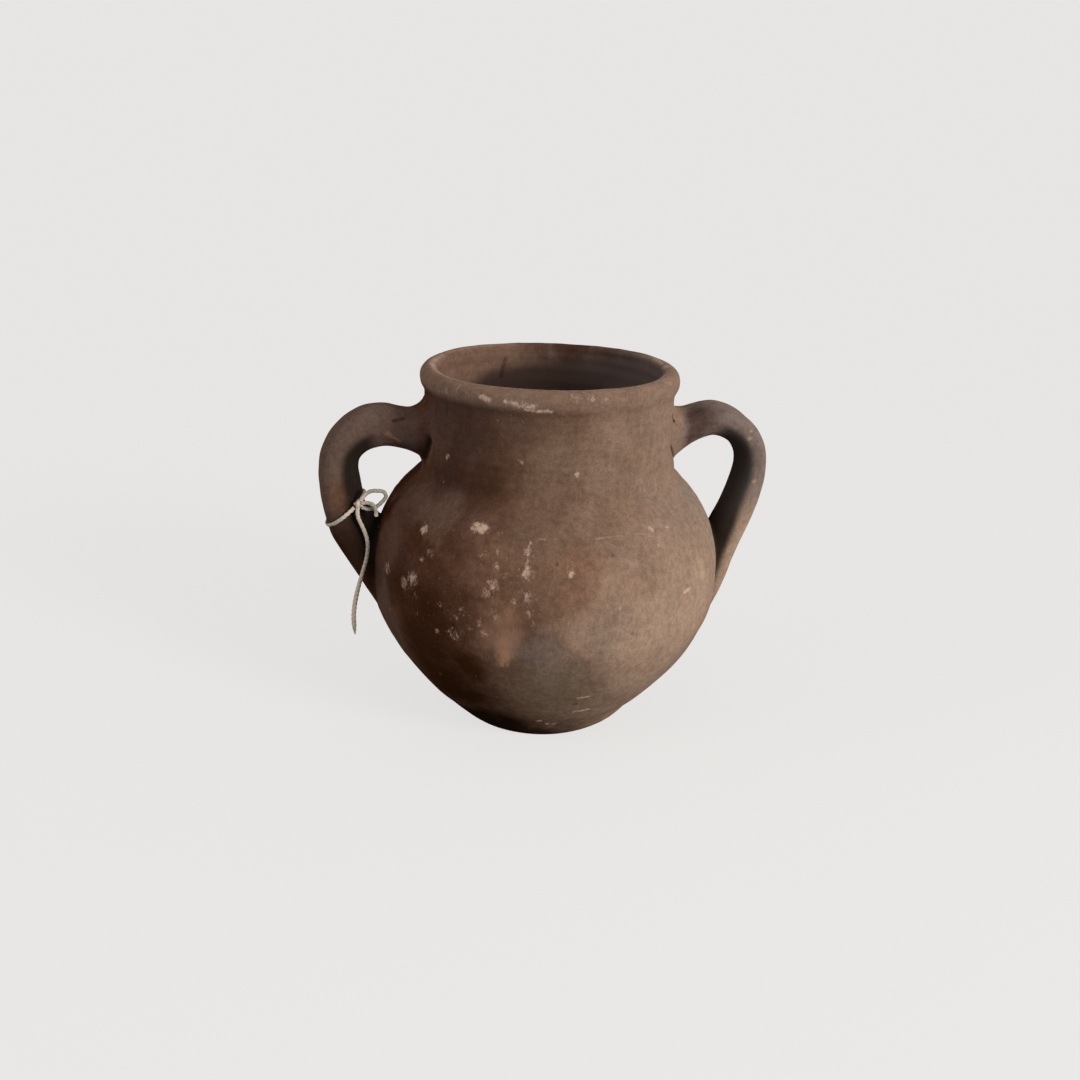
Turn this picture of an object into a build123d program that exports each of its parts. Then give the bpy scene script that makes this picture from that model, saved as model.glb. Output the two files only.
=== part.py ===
from build123d import *
from math import cos, hypot, pi, radians, sin, sqrt, tan
import os

# Two-handled clay olla with a string tied round its left handle, in millimetres.
# +Z is up, the origin is the centre of the face that the pot stands on,
# and the left handle points to -X, the right handle to +X.

# Foot and belly: radii from the pot's axis, levels above the resting face
foot_radius = 41.5
slab_thickness = 10.0
slab_radius = 55.0
slab_bulge = 0.8
flank_rise = 31.0
flank_radius = 84.5
belly_level = 103.0
belly_radius = 107.5
wall = 8.0

# Shoulder and neck, measured upwards from the widest line of the belly
seam_rise = 43.0
shoulder_rise = 58.0
mouth_radius = 68.2
neck_wall = 9.6
neck_taper = 1.9
neck_fillet = 8.0
neck_length = 47.0
throat_drop = 4.0

# Rim coil: how far it stands out past the neck's foot, and its lip's width from the mouth to the crest
rim_depth = 17.0
rim_overhang = 0.9
rim_swell_drop = 6.5
lip_width = 4.8
lip_drop = 5.5

# Left handle: how far its outermost surface stands off the belly, and its top lies below the rim coil
left_stand_off = 32.5
left_top_drop = 6.2
left_thickness = 25.5
left_width = 29.0
left_lead = 2.0
left_bend = 29.3
left_limb_radius = 85.0
left_limb_angle = 33.0
left_root = 16.0
left_toe_radius = 60.0
left_toe_angle = 25.0

# Right handle
right_stand_off = 30.8
right_top_drop = 5.7
right_thickness = 19.5
right_width = 30.0
right_lead = 6.0
right_bend = 25.5
right_limb_radius = 95.0
right_limb_angle = 23.0
right_root = 32.0
right_toe_radius = 45.0
right_toe_angle = 40.0

# Clay wads between the handles and the neck, their middles measured down from the rim coil
pad_depth = 7.0
left_pad_height = 37.0
left_pad_width = 40.0
left_pad_drop = 19.5
right_pad_height = 36.0
right_pad_width = 44.0
right_pad_drop = 22.0

# String tied round the limb of the left handle
string_diameter = 2.5
string_clearance = 0.35
tie_angle = 16.0
tie_slope = 25.0
knot_radius = 3.4
knot_turn = 54.5

# Loose stretches of the string as steps from the centre of the knot, in millimetres
bow_steps = [
    (0.6, 0.0, 1.0),
    (3.2, -0.8, 5.6),
    (6.9, -1.4, 8.7),
    (12.1, -1.6, 8.7),
    (15.2, -1.5, 8.2),
    (16.8, -1.3, 5.0),
    (14.2, -1.0, 1.6),
    (10.4, -0.8, -2.0),
    (5.8, -0.6, -3.6),
    (0.9, 0.0, -1.6),
]
stub_steps = [
    (0.0, 0.0, 0.0),
    (3.7, -2.9, 1.7),
    (7.4, -4.0, 1.6),
    (10.3, -4.4, -0.9),
    (10.4, -4.2, -6.4),
]
tail_steps = [
    (-0.9, -1.2, -3.9),
    (-0.4, -1.7, -8.6),
    (2.8, -2.0, -15.0),
    (5.5, -2.1, -23.0),
    (5.2, -2.1, -32.2),
    (2.4, -2.1, -42.4),
    (-0.6, -2.1, -53.2),
    (-2.7, -2.1, -64.0),
    (-3.3, -2.1, -73.8),
    (-2.1, -2.1, -83.0),
]

# Levels of the joints between the clay pieces
seam_level = belly_level + seam_rise
neck_level = belly_level + shoulder_rise
rim_level = neck_level + neck_length
height = rim_level + rim_depth
flank_level = slab_thickness + flank_rise
floor_radius = slab_radius - wall * sqrt(2)
throat_level = neck_level - throat_drop

# Radii of the neck and the rim, from the mouth outwards
neck_radius = mouth_radius + neck_wall
neck_top_radius = neck_radius - neck_taper
rim_radius = neck_radius + rim_overhang
crest_radius = mouth_radius + lip_width

# Reach and levels of the handles and their wads
left_reach = belly_radius + left_stand_off
left_top = rim_level - left_top_drop
left_pad_level = rim_level - left_pad_drop
right_reach = belly_radius + right_stand_off
right_top = rim_level - right_top_drop
right_pad_level = rim_level - right_pad_drop


def keep(node, solid):
    """Label a finished piece and write its STEP file."""
    solid.label = node
    export_step(solid, f"parts/{node}.step")


def belly_lines(foot, flank, waist, top):
    """Three arcs that flow into each other, from the foot edge up to the neck."""
    lower = TangentArc(waist, flank, tangent=(0, -1))
    TangentArc(lower @ 1, foot, tangent=lower % 1)
    TangentArc(waist, top, tangent=(0, 1))


def inward(flank):
    """The flank point moved into the clay by the wall, square to the belly's arc."""
    step_in = belly_radius - flank[0]
    step_down = belly_level - flank[1]
    arc_radius = (step_in**2 + step_down**2) / (2 * step_in)
    slope_in = (arc_radius - step_in) / arc_radius
    slope_down = step_down / arc_radius
    return (flank[0] - wall * slope_in, flank[1] + wall * slope_down)


def strap(reach, top, thickness, width, lead, bend, limb_radius, limb_angle, root, toe_radius, toe_angle):
    """A handle towards +X: out of its pad, round the bend, down the limb, its toe into the belly."""
    limb_x = reach - thickness / 2
    arch_z = top - thickness / 2
    turn = radians(limb_angle)
    limb_end = (limb_x - limb_radius * (1 - cos(turn)), arch_z - bend - limb_radius * sin(turn))
    root_end = (limb_end[0] - root * sin(turn), limb_end[1] - root * cos(turn))
    toe_centre = (root_end[0] - toe_radius * cos(turn), root_end[1] + toe_radius * sin(turn))
    with BuildPart() as handle:
        with BuildLine(Plane.XZ) as route:
            Line((limb_x - bend - lead, arch_z), (limb_x - bend, arch_z))
            CenterArc((limb_x - bend, arch_z - bend), bend, 90, -90)
            CenterArc((limb_x - limb_radius, arch_z - bend), limb_radius, 0, -limb_angle)
            Line(limb_end, root_end)
            CenterArc(toe_centre, toe_radius, -limb_angle, -toe_angle)
        with BuildSketch(Plane((limb_x - bend - lead, 0, arch_z), x_dir=(0, 1, 0), z_dir=(1, 0, 0))):
            Ellipse(width / 2, thickness / 2)
        sweep(path=route.line)
        add(envelope.part, mode=Mode.SUBTRACT)
    return handle.part


def neck_pad(reach, top, thickness, width, lead, bend, pad_height, pad_width, pad_level):
    """The wad from a handle's upper end to its footprint on the neck, towards +X."""
    arch_z = top - thickness / 2
    outer_x = reach - thickness / 2 - bend - lead
    inner_x = neck_top_radius - pad_depth
    with BuildPart() as pad:
        with BuildSketch(Plane((inner_x, 0, pad_level), x_dir=(0, 1, 0), z_dir=(1, 0, 0))):
            Ellipse(pad_width / 2, pad_height / 2)
        with BuildSketch(Plane((outer_x, 0, arch_z), x_dir=(0, 1, 0), z_dir=(1, 0, 0))):
            Ellipse(width / 2, thickness / 2)
        loft()
        add(envelope.part, mode=Mode.SUBTRACT)
    return pad.part


def corner_radii(points):
    """The largest bend that each corner's two runs allow."""
    radii = []
    for before, here, after in zip(points, points[1:], points[2:]):
        turn = (here - before).get_angle(after - here)
        shorter = min((here - before).length, (after - here).length)
        radii.append(0.45 * shorter / tan(radians(turn) / 2))
    return radii


def string_tube(node, steps):
    """A stretch of string along runs and arcs, its points given as steps from the knot."""
    points = [knot_centre + Vector(*step) for step in steps]
    radii = corner_radii(points)
    with BuildPart() as tube:
        with BuildLine() as route:
            FilletPolyline(*points, radius=radii)
        with BuildSketch(Plane(route.line @ 0, z_dir=route.line % 0)):
            Circle(string_diameter / 2)
        sweep(path=route.line)
    length = sum(edge.length for edge in route.edges())
    print(node, "bend radii", [round(radius, 1) for radius in radii], "length", round(length, 2))
    print(node, "volume", round(tube.part.volume, 2), "of", round(pi * string_diameter**2 / 4 * length, 2))
    return tube.part


os.makedirs("parts", exist_ok=True)

# Outside of the pot as a filled solid, which also trims the handles and pads
with BuildPart() as envelope:
    with BuildSketch(Plane.XZ) as outline:
        with BuildLine():
            slab_run = hypot(slab_radius - foot_radius, slab_thickness)
            slab_middle = (
                (foot_radius + slab_radius) / 2 + slab_bulge * slab_thickness / slab_run,
                slab_thickness / 2 - slab_bulge * (slab_radius - foot_radius) / slab_run,
            )
            Polyline((0, height - lip_drop), (0, 0), (foot_radius, 0))
            ThreePointArc((foot_radius, 0), slab_middle, (slab_radius, slab_thickness))
            belly_lines(
                (slab_radius, slab_thickness),
                (flank_radius, flank_level),
                (belly_radius, belly_level),
                (neck_radius, neck_level),
            )
            Line((neck_radius, neck_level), (neck_top_radius, rim_level))
            swell_level = height - rim_swell_drop
            swell_middle = (rim_level + swell_level) / 2
            Bezier(
                (neck_top_radius, rim_level),
                (neck_top_radius, swell_middle),
                (rim_radius, swell_middle),
                (rim_radius, swell_level),
            )
            EllipticalCenterArc(
                (crest_radius, swell_level), rim_radius - crest_radius, rim_swell_drop, 0, arc_size=90
            )
            EllipticalCenterArc(
                (crest_radius, height - lip_drop), crest_radius - mouth_radius, lip_drop, 90, arc_size=90
            )
            Line((mouth_radius, height - lip_drop), (0, height - lip_drop))
        make_face()
        neck_corner = outline.vertices().sort_by_distance((neck_radius, neck_level, 0))[0]
        fillet(neck_corner, neck_fillet)
    revolve(axis=Axis.Z)

# Hollow inside of the pot, open at the mouth
with BuildPart() as cavity:
    with BuildSketch(Plane.XZ):
        with BuildLine():
            Polyline((mouth_radius, throat_level), (mouth_radius, height), (0, height))
            Polyline((0, height), (0, slab_thickness), (floor_radius, slab_thickness))
            belly_lines(
                (floor_radius, slab_thickness),
                inward((flank_radius, flank_level)),
                (belly_radius - wall, belly_level),
                (mouth_radius, throat_level),
            )
        make_face()
    revolve(axis=Axis.Z)

with BuildPart() as shell:
    add(envelope.part)
    add(cavity.part, mode=Mode.SUBTRACT)

# The clay rings that the pot is built up from, each seated flat on the one below
joint_levels = [0, slab_thickness, belly_level, seam_level, neck_level, rim_level, height]
ring_nodes = ["base_slab", "lower_belly", "upper_belly", "shoulder_ring", "neck_collar", "rim_coil"]
for node, low, high in zip(ring_nodes, joint_levels, joint_levels[1:]):
    with BuildPart() as ring:
        add(shell.part)
        if low > 0:
            split(bisect_by=Plane.XY.offset(low), keep=Keep.TOP)
        if high < height:
            split(bisect_by=Plane.XY.offset(high), keep=Keep.BOTTOM)
    keep(node, ring.part)

# Handles and their pads; the left ones are made towards +X and turned over
right_handle = strap(
    right_reach, right_top, right_thickness, right_width, right_lead,
    right_bend, right_limb_radius, right_limb_angle, right_root, right_toe_radius, right_toe_angle,
)
left_handle = strap(
    left_reach, left_top, left_thickness, left_width, left_lead,
    left_bend, left_limb_radius, left_limb_angle, left_root, left_toe_radius, left_toe_angle,
)
right_pad = neck_pad(
    right_reach, right_top, right_thickness, right_width, right_lead, right_bend,
    right_pad_height, right_pad_width, right_pad_level,
)
left_pad = neck_pad(
    left_reach, left_top, left_thickness, left_width, left_lead, left_bend,
    left_pad_height, left_pad_width, left_pad_level,
)
keep("right_handle", right_handle)
keep("left_handle", mirror(left_handle, about=Plane.YZ))
keep("right_neck_pad", right_pad)
keep("left_neck_pad", mirror(left_pad, about=Plane.YZ))

# Plane of the string's loop: it slopes across the limb, with its inner side higher
limb_x = left_reach - left_thickness / 2
limb_top = left_top - left_thickness / 2 - left_bend
limb_pivot = Vector(left_limb_radius - limb_x, 0, limb_top)
along = radians(tie_angle)
loop_centre = limb_pivot - Vector(cos(along), 0, sin(along)) * left_limb_radius
slope = radians(tie_angle + tie_slope)
loop_plane = Plane(loop_centre, x_dir=(cos(slope), 0, sin(slope)), z_dir=(sin(slope), 0, -cos(slope)))

# The loop is round, because the limb's slanted section is close to a circle
slant = cos(radians(tie_slope))
limb_half = max(left_thickness / 2 / slant, left_width / 2)
loop_radius = limb_half + (string_clearance + string_diameter / 2) / slant
knot_reach = limb_half + string_clearance / slant + knot_radius
knot_angle = radians(knot_turn)
knot_centre = loop_plane.from_local_coords(
    Vector(knot_reach * cos(knot_angle), knot_reach * sin(knot_angle), 0)
)
print("limb pivot", limb_pivot)
print("knot centre", knot_centre)
print("loop centre", loop_centre, "radius", round(loop_radius, 3))

with BuildPart() as string_knot:
    with Locations(knot_centre):
        Sphere(knot_radius)
keep("string_knot", string_knot.part)

with BuildPart() as string_ring:
    with BuildSketch(Plane(loop_plane.from_local_coords(Vector(-loop_radius, 0, 0)),
                           x_dir=loop_plane.x_dir, z_dir=loop_plane.y_dir)):
        Circle(string_diameter / 2)
    revolve(axis=Axis(loop_centre, loop_plane.z_dir))
    add(string_knot.part, mode=Mode.SUBTRACT)
keep("string_ring", string_ring.part)

with BuildPart() as string_bow:
    add(string_tube("string_bow", bow_steps))
    add(string_knot.part, mode=Mode.SUBTRACT)
keep("string_bow", string_bow.part)

with BuildPart() as string_stub:
    add(string_tube("string_stub", stub_steps))
    add(string_knot.part, mode=Mode.SUBTRACT)
keep("string_stub", string_stub.part)

keep("string_tail", string_tube("string_tail", tail_steps))
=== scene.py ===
from functools import reduce
from math import ceil, cos, pi, radians, sin, tau

import bpy
import numpy as np
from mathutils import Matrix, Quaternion, Vector, noise


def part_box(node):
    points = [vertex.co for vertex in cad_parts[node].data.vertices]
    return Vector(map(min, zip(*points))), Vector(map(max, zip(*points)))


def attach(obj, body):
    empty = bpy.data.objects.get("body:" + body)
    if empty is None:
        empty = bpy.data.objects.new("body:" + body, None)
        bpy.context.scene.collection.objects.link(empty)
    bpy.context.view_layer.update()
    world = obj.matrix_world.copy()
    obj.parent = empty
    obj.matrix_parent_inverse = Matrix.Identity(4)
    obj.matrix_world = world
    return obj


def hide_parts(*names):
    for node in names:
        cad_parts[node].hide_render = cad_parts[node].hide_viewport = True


# An unglazed, smoke-clouded clay olla with a string tied round its left handle.
# Sizes are in millimetres, and become metres where a mesh, a curve or a material is made.
# An angle in a table of marks is in degrees from the front, positive towards the right handle.
MM = 0.001

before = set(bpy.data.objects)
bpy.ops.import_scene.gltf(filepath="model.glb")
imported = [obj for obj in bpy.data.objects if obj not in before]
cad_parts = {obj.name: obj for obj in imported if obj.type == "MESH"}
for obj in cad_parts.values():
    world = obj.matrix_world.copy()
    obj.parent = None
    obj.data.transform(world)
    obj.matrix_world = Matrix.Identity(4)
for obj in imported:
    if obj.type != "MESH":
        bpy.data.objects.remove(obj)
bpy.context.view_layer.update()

# Camera, as the photograph was taken
CAMERA_AZIMUTH = -8.0
CAMERA_ELEVATION = 18.1
CAMERA_ROLL = 1.8
CAMERA_DISTANCE = 1003.0
CAMERA_LENS = 53.33
AIM_LEVEL = 114.0
AIM_SIDESTEP = -2.8

# The clay rings from the foot upwards, the material slot of each kind of piece,
# and how finely the rings' surfaces are divided
RINGS = ["base_slab", "lower_belly", "upper_belly", "shoulder_ring", "neck_collar", "rim_coil"]
ROUND_STEPS = 320
OUTSIDE_STEP = 1.25
INSIDE_STEP = 2.2
GROUND_EASE = 4.0

# Tones that the meshes carry for the clay's colour: painted shade on the inside wall and the handles' inner
# faces, how far from the pot a strap is, and what is the inside of the pot
TONES = ["painted_shade", "strap", "inside"]
SHADED_TOP = 226.0
SHADED_ACROSS = (-62.0, -45.0, -30.0, 0.0, 25.0, 45.0, 62.0)
SHADED_DEPTHS = (38.0, 25.0, 17.0, 13.0, 10.0, 8.0, 6.0)
SHADED_FADE = 11.0
SHADED_STRAP_LEVEL = 150.0
SHADED_STRAP_REACH = (100.0, 112.0)
SHADED_STRAP_EDGES = [(100.0, 0.1), (126.0, 0.0), (140.0, -0.16)]
SHADED_STRAP_FADE = 0.4
STRAP_GAP = (4.0, 10.0)

# Unevenness of the hand-built wall and handles; grains are rows of height, size and seed
WALL_GRAINS = [(0.45, 38, 1), (0.2, 11, 2), (0.07, 4.2, 3)]
STRAP_GRAINS = [(0.5, 26, 7), (0.22, 9, 8)]
STRAP_LINES = 7
STRAP_LINE_DEPTH = 0.12
SCORED_LEVEL = 145.2
SCORED_SPREAD = 0.8
SCORED_DEPTH = 0.34
SCORED_BURR_DROP = 1.8
SCORED_BURR_SPREAD = 0.9
SCORED_BURR_RISE = 0.16
RIDGE_LEVEL = 157.5
RIDGE_SPREAD = 2.6
RIDGE_RISE = 0.5
INSIDE_RING_PITCH = 8.3
INSIDE_RING_DEPTH = 0.25
FINGER_RING_LEVELS = (162.0, 192.0)
FINGER_RING_PITCH = 5.6
FINGER_RING_DEPTH = 0.16
LIP_EDGE_LEVEL = 222.6
LIP_EDGE_SPREAD = 1.4
LIP_EDGE_RISE = 1.0
FRONT_LIP_RISE = 1.4
RIM_WAVES = [(0.2, 3, 0.6), (-0.35, 2, 0)]
BASE_FLOOR_ROWS = 16
BASE_FLOOR_MIDDLE = 0.06
BASE_SPIRAL_TURN = 26
BASE_SPIRAL_RISE = 0.35
BASE_GRAINS = [(0.3, 14, 6)]

# Where the wall is fuller or leaner than its true round form: level, spread and rise,
# on the left (-1), on the right (1) or all round (0)
WALL_SWELLS = [
    (79, 13, 1.1, 0), (24, 13, 1.4, -1), (16.5, 5, -1, 1), (157, 6, -0.9, -1), (165, 5, 0.9, 1),
]

# Handles: stations from the pad to the toe, each the outer and then the inner point of the section in the
# plane of the handles, as distance from the axis and level, and the section's half width
LEFT_STATIONS = [
    (71, 208, 71, 165, 21), (75, 204.6, 75.5, 168, 19.6), (79, 201, 80, 170.8, 17.4),
    (84, 199, 85, 173.2, 15.6), (90, 199.6, 91, 174.9, 14.8), (99, 201.7, 97.5, 175.9, 14.5),
    (112.5, 200.2, 105, 175, 14.5), (124.5, 193.2, 111, 172.4, 14.5), (132.6, 184.6, 114.6, 168.6, 14.5),
    (138.2, 173, 115.6, 163.2, 14.4), (140, 159, 114.8, 156.8, 14.3), (138.9, 147, 113.2, 148.6, 14.2),
    (136.4, 134.5, 111, 139.5, 14.2), (133, 122, 103.2, 133, 14.6), (127, 110.5, 99, 120, 15.2),
    (119, 98, 96, 107, 15.8), (110.6, 85.4, 94, 94, 16), (101.5, 71, 90, 80, 15),
]
RIGHT_STATIONS = [
    (71, 203.6, 71, 165.5, 24), (75.5, 202, 76, 167.2, 22.5), (79.5, 198.9, 80.5, 171, 20),
    (85, 198.5, 85.5, 174.8, 17.4), (91, 200.2, 91, 178.2, 15.8), (97, 201.9, 96.6, 180.8, 15),
    (104.5, 202.2, 102.4, 182.4, 15), (113, 200, 107.6, 181.4, 15), (121.5, 195.2, 112.4, 179, 15),
    (129.2, 188.2, 115.6, 175.6, 15), (134.6, 179.4, 117.9, 170.8, 15), (137, 170, 118.5, 165, 15),
    (137, 158, 117.5, 158.4, 15), (134.7, 146, 114.7, 149.2, 15), (131.4, 134, 110.2, 137.6, 15),
    (126.8, 121.5, 104.4, 126, 15.4), (120.4, 106, 99, 112, 16.2), (114.6, 89, 95, 97, 17),
    (107.5, 74, 93, 84, 17), (98.5, 60, 88, 70, 15.5),
]
SECTION_POINTS = 72
SECTION_STEP = 1.5
SECTION_POWER = 2.1
LEFT_SKEW = 0.26
RIGHT_SKEW = 0.32
BURIED_DEPTH = 2.2
LUTING_FILLET = 2.6

# String
STRING_DIAMETER = 2.5
STRING_TWIST_PITCH = 8.5
STRING_PLIES = 3
PLY_DEPTH = 0.07
STRING_SIDES = 27
STRING_STEP = 0.42
KNOT_CENTRE = (-115.943, -14.8871, 143.287)
LOOP_CENTRE = (-123.957, 0.0, 136.321)
LOOP_HALF_DEPTH = 15.55
LOOP_HALF_WIDTH = 16.2
LOOP_SLOPE = 41.0
LOOP_POINTS = 16
LOOP_PRESS = 0.5
KNOT_TURN = 54.5
KNOT_GAP = 9.0
KNOT_TURNS = 3
KNOT_RADIUS = 1.25
KNOT_SWAY = 0.85
KNOT_RISE = 1.25
KNOT_STEPS = 181
TAIL_TAPER = [(0, 1), (0.5, 1), (0.7, 1.2), (0.92, 1.2), (0.97, 0.75), (1, 0.18)]
BOW_STEPS = [
    (1.4, -0.2, 2.3), (3.2, -0.8, 5.6), (6.9, -1.4, 8.7), (12.1, -1.6, 8.7), (15.2, -1.5, 8.2),
    (16.8, -1.3, 5), (14.2, -1, 1.6), (10.4, -0.8, -2), (5.8, -0.6, -3.6), (1.9, -0.1, -2),
]
STUB_STEPS = [(2.2, -1.75, 1), (3.7, -2.9, 1.7), (7.4, -4, 1.6), (10.3, -4.4, -0.9), (10.4, -4.2, -6.4)]
TAIL_STEPS = [
    (-0.5, -0.65, -2.1), (-0.9, -1.2, -3.9), (-0.4, -1.7, -8.6), (2.8, -2, -15), (5.5, -2.1, -23),
    (5.1, -2.7, -32), (2.2, -3.7, -42), (-0.9, -4.8, -52.4), (-3.1, -5.9, -62.9), (-3.8, -6.6, -72.5),
    (-2.7, -7, -81.6),
]


def hermite(points, knots, at):
    """A smooth curve through points at knots, and its slope, both read at the given places."""
    points = np.asarray(points, float)
    slopes = np.gradient(points, knots, axis=0)
    cell = np.clip(np.searchsorted(knots, at, side="right") - 1, 0, len(knots) - 2)
    width = (knots[cell + 1] - knots[cell])[:, None]
    t = (at - knots[cell])[:, None] / width
    p, q = points[cell], points[cell + 1]
    m, n = slopes[cell] * width, slopes[cell + 1] * width
    place = (2 * t**3 - 3 * t**2 + 1) * p + (t**3 - 2 * t**2 + t) * m
    place += (3 * t**2 - 2 * t**3) * q + (t**3 - t**2) * n
    slope = (6 * t**2 - 6 * t) * (p - q) + (3 * t**2 - 4 * t + 1) * m + (3 * t**2 - 2 * t) * n
    return place, slope / width


def chord_lengths(points):
    """Distance along a row of points, up to each of them."""
    steps = np.linalg.norm(np.diff(np.asarray(points, float), axis=0), axis=1)
    return np.concatenate([[0.0], np.cumsum(steps)])


class WallLine:
    """One side of the pot's wall as a smooth line of (radius, level), read from the CAD rings."""

    LEAST_SPACING = 0.5
    LEAST_LEAN = 0.02

    def __init__(self, outward):
        found = [self.read(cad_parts[name].data, outward) for name in RINGS]
        line = np.unique(np.concatenate(found).round(3), axis=0)
        line = line[np.lexsort((line[:, 0] if outward else -line[:, 0], line[:, 1]))]
        kept = [line[0]]
        for point in line[1:-1]:
            if np.linalg.norm(point - kept[-1]) > self.LEAST_SPACING:
                kept.append(point)
        self.points = np.array(kept + [line[-1]])
        self.along = chord_lengths(self.points)
        self.outward = 1.0 if outward else -1.0

    def read(self, mesh, outward):
        """The (radius, level) of the corners of those faces that look outwards, or inwards."""
        places = np.zeros(len(mesh.vertices) * 3)
        corners = np.zeros(len(mesh.loops), int)
        mesh.vertices.foreach_get("co", places)
        mesh.loops.foreach_get("vertex_index", corners)
        faces = places.reshape(-1, 3)[corners.reshape(-1, 3)] / MM
        normals = np.cross(faces[:, 1] - faces[:, 0], faces[:, 2] - faces[:, 0])
        middles = faces.mean(1)
        lean = (normals[:, :2] * middles[:, :2]).sum(1)
        lean /= np.linalg.norm(normals, axis=1) * np.linalg.norm(middles[:, :2], axis=1) + 1e-12
        chosen = faces[lean > self.LEAST_LEAN if outward else lean < -self.LEAST_LEAN].reshape(-1, 3)
        return np.c_[np.hypot(chosen[:, 0], chosen[:, 1]), chosen[:, 2]]

    def place_of(self, level):
        """How far along the line a level lies."""
        return float(np.interp(level, self.points[:, 1], self.along))

    def at(self, along):
        """Radius, level and normal of the line at the given places along it."""
        place, slope = hermite(self.points, self.along, along)
        slope /= np.linalg.norm(slope, axis=1, keepdims=True)
        normal = np.c_[slope[:, 1], -slope[:, 0]] * self.outward
        return place, normal

    def radius(self, level):
        """Radius of the wall at a level, or at many."""
        return np.interp(level, self.points[:, 1], self.points[:, 0])


outside, inside = WallLine(True), WallLine(False)
JOINT_LEVELS = [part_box(name)[0].z / MM for name in RINGS] + [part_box(RINGS[-1])[1].z / MM]


def on_pot(angle, level, lift=0.0):
    """The point in millimetres on the pot's outside at an angle and a level."""
    radius = float(outside.radius(level)) + lift
    return (radius * sin(radians(angle)), -radius * cos(radians(angle)), level)


def rough(points, size, seed):
    """Smooth noise of the given grain size, about -1 to 1, at points in millimetres."""
    shift = np.array([seed * 17.3, seed * 5.1, seed * 9.7])
    scaled = points.reshape(-1, 3) / size + shift
    return np.array([noise.noise(p) for p in scaled.tolist()]).reshape(points.shape[:-1])


def grains(points, rows):
    """Several sizes of noise added up, each row its height, size and seed."""
    return sum(height * rough(points, size, seed) for height, size, seed in rows)


def ease(value):
    """A smooth step from nothing at zero to one at one."""
    value = np.clip(value, 0, 1)
    return value * value * (3 - 2 * value)


def bell(value, middle, spread):
    """A smooth hump of height one."""
    return np.exp(-(((value - middle) / spread) ** 2))


# Cracks, raised lips and scratches of the clay: a row of points in millimetres, half width, rise,
# and strength of colour
CRACKS = [
    ([(-74.8, -20.5, 183.5), (-76.4, -17.6, 177.5), (-77.4, -11.5, 171.0)], 2.5, -2.6, 1.0),
    ([(-95.4, -13.4, 194.4), (-89.0, -12.4, 195.0)], 0.9, -0.8, 0.8),
    ([(71.2, -27.0, 200.5), (73.0, -22.9, 196.3)], 0.7, -1.0, 0.9),
    ([(71.2, -29.0, 181.2), (73.6, -23.4, 177.0), (76.4, -17.9, 172.4)], 1.0, -1.6, 0.95),
    ([(-19.7, 65.2, 215.6), (-21.4, 64.4, 209.9), (-22.2, 64.5, 204.4)], 1.5, -0.5, 0.5),
]
# The raised lip's colour is a painted highlight along its edge
LIPS = [
    ([(-98.9, -14.3, 186.3), (-95.4, -13.9, 183.6), (-91.6, -13.3, 180.9)], 1.3, 1.0, 0.6),
]
SCRATCHES = [
    ([(-132.3, -11.1, 177.9), (-129.1, -12.6, 180.1), (-125.4, -13.6, 182.7)], 0.7, 0.1, 0.45),
    ([(-133.4, -9.8, 174.0), (-130.2, -12.6, 176.4)], 0.5, 0.1, 0.45),
]


def segment_gap(points, start, end):
    """Distance of points from the straight line between two points."""
    start, end = np.array(start), np.array(end)
    run = end - start
    share = np.clip(((points - start) @ run) / (run @ run), 0, 1)
    return np.linalg.norm(points - start - share[..., None] * run, axis=-1)


def marked(points):
    """How far the cracks and ridges lift or sink the clay at points."""
    lift = np.zeros(points.shape[:-1])
    for row, half_width, rise, _ in CRACKS + LIPS + SCRATCHES:
        gaps = [segment_gap(points, start, end) for start, end in zip(row, row[1:])]
        lift += rise * bell(np.min(gaps, axis=0), 0, half_width)
    return lift


def wall_relief(points, angle, level, outward):
    """How far the hand-built wall stands proud of its true round form, in millimetres."""
    lift = grains(points, WALL_GRAINS)
    low, high = FINGER_RING_LEVELS
    ringed = bell(level, (low + high) / 2, (high - low) / 2)
    phase = tau * level / FINGER_RING_PITCH + 0.8 * np.sin(angle + 0.4) + 1.6 * rough(points, 30.0, 4)
    lift += FINGER_RING_DEPTH * ringed * np.sin(phase)
    if not outward:
        lift += LIP_EDGE_RISE * bell(level, LIP_EDGE_LEVEL, LIP_EDGE_SPREAD)
        phase = tau * level / INSIDE_RING_PITCH + np.sin(angle)
        return lift + INSIDE_RING_DEPTH * np.sin(phase) + marked(points)
    for middle, spread, rise, side in WALL_SWELLS:
        share = 0.5 + 0.5 * side * np.sin(angle) if side else 1.0
        lift += rise * share * bell(level, middle, spread)
    lift += RIDGE_RISE * bell(level, RIDGE_LEVEL, RIDGE_SPREAD)
    faint = 0.55 + 0.45 * rough(points, 22.0, 5)
    lift -= SCORED_DEPTH * faint * bell(level, SCORED_LEVEL, SCORED_SPREAD)
    lift += SCORED_BURR_RISE * faint * bell(level, SCORED_LEVEL - SCORED_BURR_DROP, SCORED_BURR_SPREAD)
    return lift + marked(points)


def rim_sway(angle, level):
    """The mouth is not quite flat: its crest rises and falls a little round the pot."""
    share = np.clip((level - JOINT_LEVELS[-2]) / (JOINT_LEVELS[-1] - JOINT_LEVELS[-2]), 0, 1)
    front = ((1 + np.cos(angle + 0.1)) / 2) ** 3
    waves = sum(height * np.cos(count * angle + shift) for height, count, shift in RIM_WAVES)
    return share * (waves + FRONT_LIP_RISE * front)


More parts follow.
